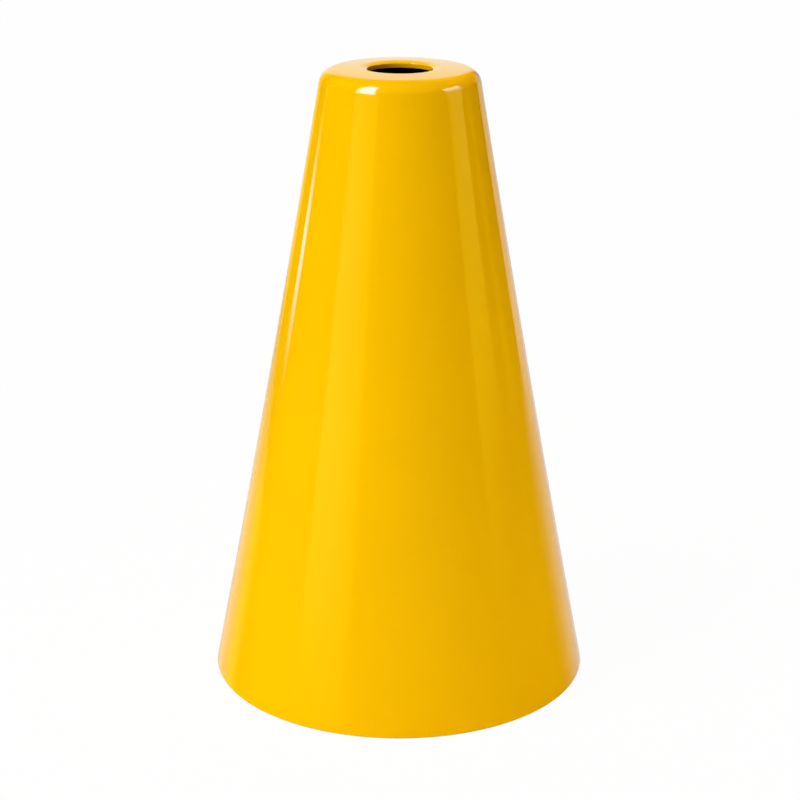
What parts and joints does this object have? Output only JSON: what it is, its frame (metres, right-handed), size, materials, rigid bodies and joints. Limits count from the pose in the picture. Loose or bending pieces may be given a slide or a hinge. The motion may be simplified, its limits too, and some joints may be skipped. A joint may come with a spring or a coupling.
{
  "type": "spun metal cone",
  "caption": "Hollow spun sheet-metal cone with a rounded shoulder, a shallow domed crown and a central round hole, open at the base, in glossy yellow enamel.",
  "frame": {"origin": "centre of the open rim, in the plane that the cone stands on", "axes": "+Z along the cone's axis from the rim to the crown; the cone is round, so +X and +Y are free"},
  "size_m": [0.062, 0.062, 0.101],
  "materials": {
    "enamel": "smooth high-gloss yellow enamel over spun sheet"
  },
  "bodies": {
    "root": {"spun_cone": "enamel"}
  },
  "joints": []
}
